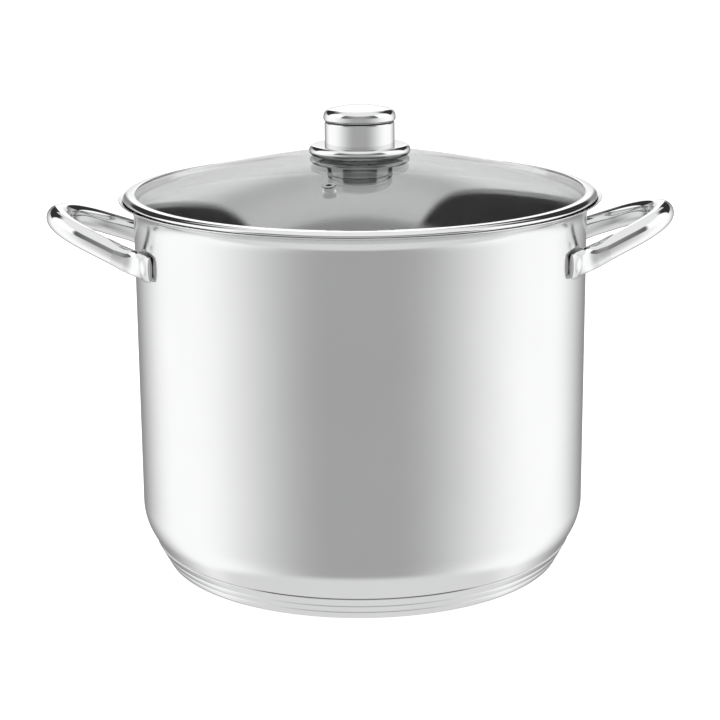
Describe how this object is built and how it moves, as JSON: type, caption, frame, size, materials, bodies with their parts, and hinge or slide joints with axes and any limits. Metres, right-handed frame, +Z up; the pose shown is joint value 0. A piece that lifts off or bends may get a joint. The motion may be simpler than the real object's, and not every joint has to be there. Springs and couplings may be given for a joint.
{
  "type": "water bath canner",
  "caption": "Tall stainless stockpot with encapsulated base, tube handles, vented glass lid with knob, and a wire jar rack with folding bails.",
  "frame": {"origin": "centre of the base's underside, on the pot's axis", "axes": "+Z up the pot's axis, +X towards the right-hand handle, -Y towards the front"},
  "size_m": [0.445, 0.3406, 0.3282],
  "materials": {
    "polished_steel": "mirror polished stainless steel",
    "satin_steel": "satin brushed stainless steel",
    "core_aluminium": "bare aluminium disc",
    "tempered_glass": "clear tempered glass",
    "silicone": "translucent grey silicone",
    "moulded_core": "black phenolic moulding",
    "insert_brass": "plain brass",
    "rack_wire": "electropolished stainless wire"
  },
  "bodies": {
    "pot": {"pot_shell": "polished_steel", "base_core_disc": "core_aluminium", "base_cap": "polished_steel", "right_handle": "polished_steel", "left_handle": "polished_steel"},
    "rack": {"rack_base_ring": "rack_wire", "rack_grid_wires": "rack_wire", "rack_feet": "rack_wire", "rack_uprights": "rack_wire", "rack_inner_posts": "rack_wire", "rack_divider_bars": "rack_wire", "rack_centre_ring": "rack_wire", "rack_top_ring": "rack_wire", "rack_bail_eyes": "rack_wire"},
    "lid": {"lid_glass": "tempered_glass", "lid_rim_band": "polished_steel", "vent_eyelet": "satin_steel", "knob_flange": "polished_steel", "knob_gasket": "silicone", "knob_sleeve": "polished_steel", "knob_cap": "polished_steel", "knob_core": "moulded_core", "knob_insert": "insert_brass", "knob_inner_gasket": "silicone", "knob_washer": "satin_steel", "knob_screw": "satin_steel"},
    "left_bail": {"left_bail": "rack_wire"},
    "right_bail": {"right_bail": "rack_wire"}
  },
  "joints": [
    {"name": "rack_lift", "type": "slide", "parent": "pot", "child": "rack", "axis": [0, 0, 1], "range_m": [0, 0.28]},
    {"name": "lid_lift", "type": "slide", "parent": "rack", "child": "lid", "axis": [0, 0, 1], "range_m": [0, 0.15]},
    {"name": "left_bail_fold", "type": "hinge", "parent": "rack", "child": "left_bail", "pos_m": [-0.1233, 0, 0.1217], "axis": [0, -1, 0], "range_deg": [0, 95]},
    {"name": "right_bail_fold", "type": "hinge", "parent": "rack", "child": "right_bail", "pos_m": [0.1233, 0, 0.1217], "axis": [0, 1, 0], "range_deg": [0, 95]}
  ]
}
